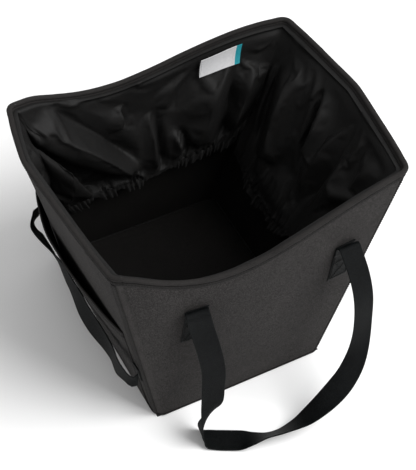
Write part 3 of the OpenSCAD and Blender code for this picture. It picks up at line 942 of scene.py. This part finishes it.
def ribbon(name, pts, wide, width=WEBBING_W, body=SHELL, nodes=()):
    """A strap along pts; wide is the direction of its width at each point."""
    c = np.asarray(pts, float)
    t = unit(np.gradient(c, axis=0))
    w = unit(wide - t * (wide * t).sum(1, keepdims=True))
    n = np.cross(t, w)
    # the section, in widths and thicknesses, with a thicker selvedge along both edges
    x = np.array([-0.5, -0.497, -0.485, -0.46, -0.43, -0.40, -0.2, 0,
                  0.2, 0.40, 0.43, 0.46, 0.485, 0.497, 0.5])
    y = np.array([0.0, 0.22, 0.40, 0.47, 0.46, 0.40, 0.42, 0.42, 0.42, 0.40, 0.46, 0.47, 0.40, 0.22, 0.0])
    sec = np.concatenate([np.stack([x, y], 1), np.stack([x[-2:0:-1], -y[-2:0:-1]], 1)])
    P = np.stack([c + w * (a * width) + n * (b * WEBBING_T) for a, b in sec])
    around = np.concatenate([sec[:, 0], sec[:1, 0]]) * WEBBING_W
    run = np.concatenate([[0], np.cumsum(np.linalg.norm(np.diff(c, axis=0), axis=1))])
    uv = np.stack(np.broadcast_arrays(around[:, None], run[None]), -1)
    wear = np.broadcast_to(smoothstep(0.42, 0.5, np.abs(sec[:, 0]))[:, None], P.shape[:2])
    obj = grid(name, P, uv, close_v=True, flip=True, sharp=70, wear=wear)
    fill_ends(obj)
    return dress(obj, "webbing", body, "webbing", *nodes)


def wall_at(side, x, z, d):
    """A point of a long wall at a given x and z."""
    h = z / H
    for _ in range(8):
        along = half_l(h) - CORNER
        e = ARC + SIDE * ((x if side == 0 else -x) / along + 1) / 2
        h = z / (H - softened(DIPS[side], e))
    return wall(side, e, h, d)


# The straps, as in the CAD source: the middle line, and the direction of the width.
HANDLE = [
    (-0.094, -0.1785, 0.222, 1, -0.2, 0), (-0.086, -0.19, 0.182, 1, -0.3, 0),
    (-0.08, -0.197, 0.143, 1, -0.3, 0), (-0.079, -0.2, 0.105, 1, -0.2, 0),
    (-0.079, -0.202, 0.08, 1, -0.1, 0), (-0.083, -0.203, 0.058, 0.9, 0.4, 0),
    (-0.087, -0.202, 0.036, 0.6, 0.8, 0), (-0.088, -0.201, 0.015, 0.2, 1, 0),
    (-0.084, -0.205, 0.005, 0.1, 1, 0), (-0.074, -0.211, 0.0025, 0.1, 1, 0),
    (-0.059, -0.219, 0.0025, 0.1, 1, 0), (-0.044, -0.227, 0.004, 0.1, 1, -0.1),
    (-0.03, -0.234, 0.008, 0.2, 0.9, -0.5), (-0.014, -0.24, 0.013, 0.3, 0.6, -0.7),
    (0.004, -0.245, 0.018, 0.3, 0.6, -0.7), (0.025, -0.247, 0.024, 0.2, 0.8, -0.6),
    (0.043, -0.247, 0.032, 0, 1, -0.4), (0.064, -0.245, 0.044, -0.3, 1, -0.2),
    (0.083, -0.242, 0.058, -0.6, 1, 0), (0.098, -0.238, 0.073, -0.8, 0.6, 0.1),
    (0.11, -0.232, 0.09, -1, 0.4, 0), (0.118, -0.225, 0.114, -1, 0.1, 0),
    (0.122, -0.217, 0.146, -1, -0.1, 0), (0.122, -0.207, 0.187, -1, -0.1, 0),
    (0.121, -0.191, 0.216, -1, -0.1, 0)]
END_X = (-0.092, 0.119)      # the middles of the sewn ends
FOLD_Z, END_LEN = 0.240, 0.068
SEWN_D, STRAP_D = -0.0012, -0.00325    # depths of the sewn end and of the strap folded over it
SWING_OUT = (0.034082, -0.999419, 0.0)    # level, and square to the line that the handle swings on
SWING_AT = (0.0, -0.16302, 0.240)


def handle(word, side):
    """A loop of webbing, bending where it folds over its two sewn ends, and those ends."""
    flip = np.array([1, 1 if side == 0 else -1, 1])
    left, right = (wall_at(0, x, 0.232, STRAP_D)[1] for x in END_X)
    rows = [(-0.093, left, 0.224, 1, -0.02, 0), (-0.094, left, 0.231, 1, -0.03, 0),
            (-0.095, left - 0.0006, 0.238, 1, -0.05, 0), (-0.096, left - 0.0026, 0.2426, 1, -0.08, 0),
            (-0.097, left - 0.0064, 0.2432, 1, -0.12, 0), (-0.097, left - 0.0106, 0.239, 1, -0.16, 0),
            *HANDLE,
            (0.1196, right - 0.012, 0.2386, -1, -0.05, 0), (0.1192, right - 0.0072, 0.2432, -1, -0.02, 0),
            (0.119, right - 0.0028, 0.2428, -1, 0, 0), (0.119, right - 0.0007, 0.238, -1, 0, 0),
            (0.119, right, 0.231, -1, 0, 0), (0.119, right, 0.224, -1, 0, 0)]
    fine = smooth_path(rows, 7)
    pts, wide = even(fine[:, :3], 0.0035, fine[:, 3:])
    obj = ribbon(word + "_handle_strap", pts * flip, wide * flip, body=None, nodes=(word + "_handle",))
    out, pivot = np.array(SWING_OUT) * flip, np.array(SWING_AT) * flip
    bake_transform(obj)
    seams = []
    for x, name in zip(END_X, ("left", "right")):
        zs = np.linspace(FOLD_Z - END_LEN, FOLD_Z + 0.0005, 26)

        def line(dx):
            """Points up the wall, dx beside the middle of the sewn end."""
            return np.array([wall_at(side, x + dx, z, SEWN_D) for z in zs])

        path, across = line(0), line(0.012) - line(-0.012)
        ribbon(f"{word}_sewn_end_{name}", path, across, nodes=(f"{word}_end_{name}",))
        normal = unit(np.cross(across, np.gradient(path, axis=0)))
        normal *= np.sign((normal * out).sum(1, keepdims=True))

        def on(a, b):
            """Points on the sewn end, a from -1 to 1 across it and b from 0 to 1 up it, and their normals."""
            i = np.interp(b, [0, 1], [1.2, len(zs) - 5.0])
            p, q, m = (np.stack([np.interp(i, np.arange(len(zs)), t[:, j]) for j in range(3)], 1)
                       for t in (path, unit(across), normal))
            return p + q * (a[:, None] * 0.0125) + m * 0.00095, m

        # a box, closed below the top by a bar, with a cross in it
        s = np.linspace(0, 1, 12)
        zero, box_top = 0 * s, 0.62
        seams += [on(zero - 1, s), on(zero + 1, s), on(2 * s - 1, zero), on(2 * s - 1, box_top + zero),
                  on(2 * s - 1, box_top * s), on(1 - 2 * s, box_top * s)]
    stitches(word + "_handle_stitches", seams, "webbing", length=0.0024, pitch=0.003, radius=0.0005)


handle("front", 0)
handle("back", 2)

SIDE_STRAP = [
    (-0.1535, -0.142, 0.101, -0.25, 0.2, 1), (-0.163, -0.141, 0.103, -0.15, 0.2, 1),
    (-0.173, -0.12, 0.112, 0, 0, 1), (-0.175, -0.08, 0.121, 0, 0, 1), (-0.175, -0.03, 0.123, 0, 0, 1),
    (-0.174, 0.03, 0.122, 0, 0, 1), (-0.174, 0.075, 0.124, 0, 0, 1), (-0.175, 0.108, 0.127, 0, 0, 1),
    (-0.172, 0.128, 0.126, 0, 0, 1), (-0.1575, 0.142, 0.12, -0.25, -0.2, 1)]


def side_strap():
    """The strap on the left short side, and its two sewn ends."""
    fine = smooth_path(SIDE_STRAP, 10)
    pts, wide = even(fine[:, :3], 0.0035, fine[:, 3:])
    y = pts[:, 1]
    twist = 0.75 * smoothstep(0.02, 0.10, y) * smoothstep(0.126, 0.104, y)
    twist = twist - 0.25 * smoothstep(-0.11, -0.05, y) * smoothstep(0.02, -0.03, y)
    wide = wide + np.outer(-twist, [1, 0, 0])
    pts = pts + np.outer(0.0022 * np.sin(y * 42) * smoothstep(0.14, 0.1, np.abs(y)), [1, 0, 0.6])
    pts = pts + np.outer(0.002 * smoothstep(-0.125, -0.10, y) * smoothstep(0.03, -0.02, y), [1, 0, 0])
    # it is pinched where it runs in behind its sewn ends
    width = WEBBING_W * (1 - 0.4 * smoothstep(0.122, 0.138, np.abs(pts[:, 1:2])))
    ribbon("side_strap_band", pts, wide, width, body="side_strap", nodes=("side_strap",))
    rows = []
    # each sewn end: its first and last step along the wall, its height, and which steps its stitches are at
    for word, first, last, z, at in (("front", ARC + SIDE - 0.5, ARC + SIDE + 0.9, 0.101, slice(-5, -3)),
                                     ("back", ARC - 0.9, ARC + 0.5, 0.120, slice(3, 5))):
        steps = np.linspace(first, last, 14)
        up = wall(3, steps, (z + 0.01) / H, SEWN_D) - wall(3, steps, (z - 0.01) / H, SEWN_D)
        ribbon("side_strap_sewn_end_" + word, wall(3, steps, z / H, SEWN_D), up,
               nodes=("side_strap_end_" + word,))
        heights = np.linspace(z - 0.0125, z + 0.0125, 8) / H
        for e in steps[at]:
            p = wall(3, e, heights, -0.0021)
            rows.append((p, unit(wall(3, e, heights, -0.012) - p)))
    stitches("side_strap_stitches", rows, "webbing", length=0.0022, pitch=0.003)


side_strap()


# ---- side pocket
def pocket():
    """A flat pocket on the left short side, which gapes at its mouth, with tape folded over the mouth."""
    foot, top, mouth_gape = 0.006, 0.186, 0.012
    depth = top - foot
    e0, e1 = ARC + 0.6, ARC + SIDE - 0.6
    i = np.linspace(0, 1, 121)[None]
    v = np.linspace(0, 1, 56)[:, None]
    e = e0 + (e1 - e0) * i + 0 * v
    h = (foot + depth * v) / H + 0 * i

    def gape(i, v):
        """How far the pocket stands off the wall, i along it and v up it."""
        return mouth_gape * np.sin(np.pi * i) ** 0.8 * v**1.2

    flat = wall(3, e, h)
    calm = np.sin(np.pi * i) ** 0.6 * smoothstep(0, 0.15, v)
    rough = (0.5 * waves(61, flat, 0.07) + 0.2 * waves(62, flat, 0.024)) * calm
    d = -0.00025 - gape(i, v) - np.clip(0.0004 + 0.0009 * rough, -0.0001, 0.003)
    obj = thin_sheet("side_pocket_cloth", wall(3, e, h, d - 0.001), wall(3, e, h, d),
                     np.broadcast_to(smoothstep(0.06, 0.0, v) + 0 * i, h.shape), flip=True)
    dress(obj, "shell_cloth", SHELL, "shell_cloth", "side_pocket")

    def along_mouth(a, z):
        """A line a from the pocket's cloth and z above its mouth; below it the pocket leans back."""
        lean = gape(i[0], 1) - gape(i[0], 1 + min(z, 0) / depth)
        return wall(3, e[-1], h[-1] + z / H, d[-1] + lean + a)

    # the section of the tape over the mouth: depth and height from the edge of the cloth
    sec = [(-0.0019, -0.0115), (-0.0021, -0.011), (-0.0021, -0.002), (-0.0019, 0.0002), (-0.0013, 0.0011),
           (-0.0004, 0.0014), (0.0004, 0.0011), (0.0010, 0.0003), (0.0011, -0.002), (0.0011, -0.0105),
           (0.0008, -0.011), (0.0001, -0.0105), (0.0001, -0.0004), (-0.0011, -0.0004), (-0.0011, -0.011)]
    P = np.stack([along_mouth(a, z) for a, z in sec])
    wear = np.zeros(P.shape[:2])
    wear[3:7] = 1
    obj = grid("side_pocket_tape", P, cloth_uv(P, False, True), close_v=True, flip=True, sharp=60, wear=wear)
    fill_ends(obj)
    dress(obj, "tape", SHELL, "binding_tape", "pocket_binding")
    p = along_mouth(-0.0022, -0.008)
    rows = [(p, unit(along_mouth(-0.012, -0.008) - p))]
    v = np.linspace(0.04, 0.93, 50)
    for k in (0.012, 0.988):
        at = e0 + (e1 - e0) * k, (foot + depth * v) / H
        p, q = wall(3, *at, -0.0015 - gape(k, v)), wall(3, *at, -0.0113 - gape(k, v))
        rows.append((p, unit(q - p)))
    stitches("side_pocket_stitches", rows, "binding_tape")


pocket()


# ---- label
def label():
    """The woven label and its end tab: an even, slightly curved sheet, just clear of the collar."""
    x0, z0 = 0.104, 0.3      # the middle of the label
    mid = ARC + SIDE * (-x0 / (half_l(1) - CORNER) + 1) / 2
    lo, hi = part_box("label")
    tree = BVHTree.FromObject(bpy.data.objects["collar_cloth"], bpy.context.evaluated_depsgraph_get())
    found = []
    for x in np.linspace(lo.x - 0.008, hi.x, 24):
        for z in np.linspace(lo.z, hi.z, 16):
            hit = tree.ray_cast(Vector((x, 0.0, z)), Vector((0, 1, 0)))[0]
            if hit:
                found.append((x, z, hit.y))
    found = np.array(found)

    def terms(x, z):
        x, z = x - x0, z - z0
        return np.stack([np.ones_like(x), x, z, x * x, x * z, z * z], -1)

    there = terms(found[:, 0], found[:, 1])
    fit = np.linalg.lstsq(there, found[:, 2], rcond=None)[0]
    clear = max(0.0, (there @ fit - found[:, 2]).max()) + 0.0006

    def sheet_at(p, out):
        """The points p moved onto the curved sheet, out in front of it."""
        return np.stack([p[..., 0], terms(p[..., 0], p[..., 2]) @ fit - clear - out, p[..., 2]], -1)

    def part(name, a, b, mat, slot, node):
        ee, hh = np.broadcast_arrays(np.linspace(a, b, 40)[None], np.linspace(0.876, 0.958, 30)[:, None])
        flat = wall(2, ee, hh, 0.012)
        uneven = 0.0004 * np.sin(ee * 3.1) * np.sin(hh * 22)
        obj = thin_sheet(name, sheet_at(flat, 0.0007 + uneven), sheet_at(flat, uneven))
        dress(obj, mat, SHELL, slot, node)

    left, right, tab = mid + 1.1, mid - 0.8, mid - 1.08
    part("woven_label", right, left, "label_cloth", "label_cloth", "label")
    part("woven_label_tab", tab, right, "teal_cloth", "label_tab_cloth", "label_tab")
    rows = []
    for e in (right + 0.09, left - 0.09):
        p = sheet_at(wall(2, e, np.linspace(0.88, 0.953, 12), 0.012), 0.0009)
        rows.append((p, np.broadcast_to([0.0, -1.0, 0.0], p.shape)))
    stitches("woven_label_stitches", rows, "label_cloth", "pale_thread", length=0.002, pitch=0.003,
             radius=0.00025)


label()


# ---- floor and light
def stage():
    """A pale floor, even light from all round, and one large lamp to the right and in front."""
    me = bpy.data.meshes.new("studio_floor")
    me.from_pydata([(-6, -6, 0), (6, -6, 0), (6, 6, 0), (-6, 6, 0)], [], [(0, 1, 2, 3)])
    floor = bpy.data.objects.new("studio_floor", me)
    scene.collection.objects.link(floor)
    me.materials.append(MATS["floor"])
    world = bpy.data.worlds.new("studio")
    scene.world = world
    world.use_nodes = True
    background = world.node_tree.nodes["Background"]
    background.inputs[0].default_value = (1, 1, 1, 1)
    background.inputs[1].default_value = 0.66
    lamp = bpy.data.lights.new("key", "AREA")
    lamp.shape, lamp.size, lamp.energy = "SQUARE", 3.4, 310
    key = bpy.data.objects.new("key", lamp)
    scene.collection.objects.link(key)
    key.location = (2.08, -2.18, 4.21)
    key.rotation_mode = "QUATERNION"
    key.rotation_quaternion = (Vector((0, 0, 0.15)) - key.location).to_track_quat("-Z", "Y")


stage()
